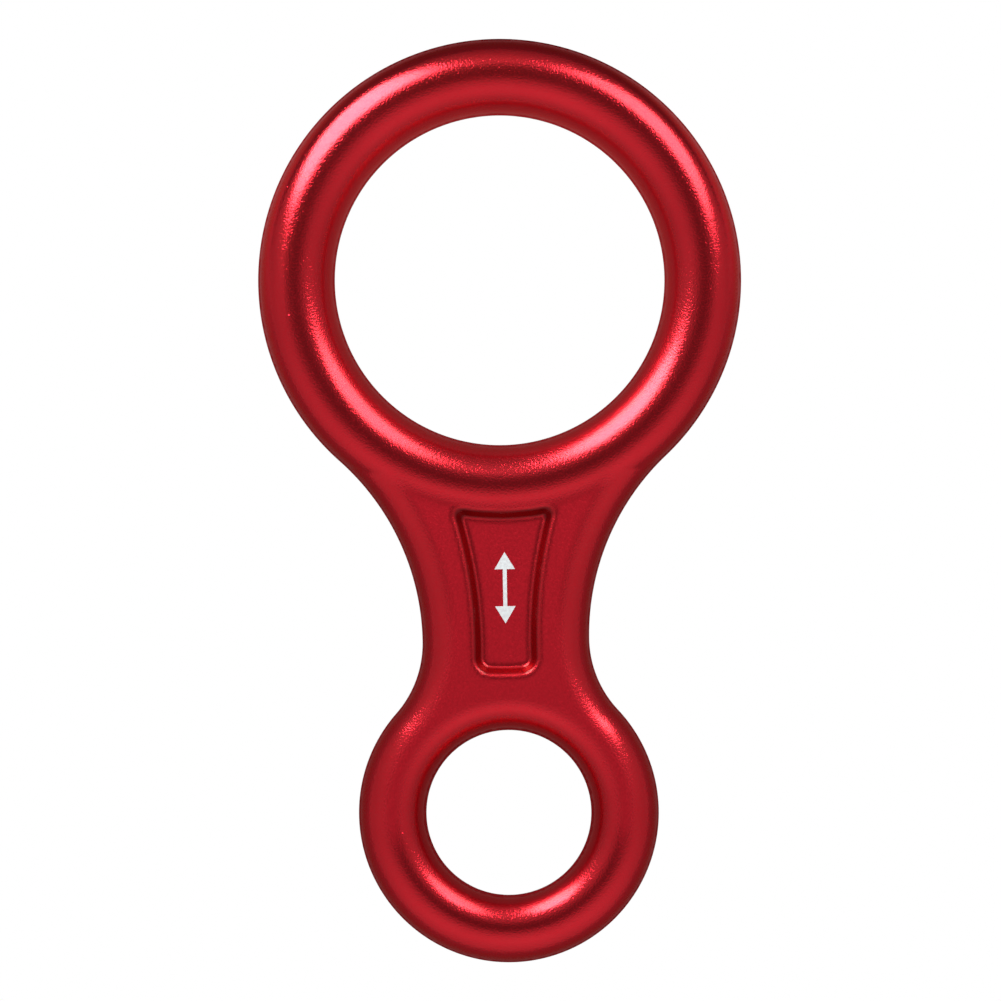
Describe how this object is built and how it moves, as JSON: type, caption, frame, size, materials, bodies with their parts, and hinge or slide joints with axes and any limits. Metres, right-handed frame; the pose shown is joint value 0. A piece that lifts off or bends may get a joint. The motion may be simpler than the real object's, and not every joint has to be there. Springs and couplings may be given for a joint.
{
  "type": "rope descender",
  "caption": "Figure-eight rope descender: a forged, anodised aluminium piece with a large rope ring, a small attachment eye and a recessed web between them.",
  "frame": {"origin": "middle of the bounding box's bottom, under the crest of the rope ring as the part lies flat", "axes": "+Y along the length towards the rope ring, +X across the width, +Z through the thickness out of the marked face"},
  "size_m": [0.0732, 0.1402, 0.0117],
  "materials": {
    "anodised_aluminium": "tumbled, then clear red anodised, satin gloss",
    "marking_white": "thin flat white marking film"
  },
  "bodies": {
    "root": {"forged_body": "anodised_aluminium", "load_axis_mark": "marking_white"}
  },
  "joints": []
}
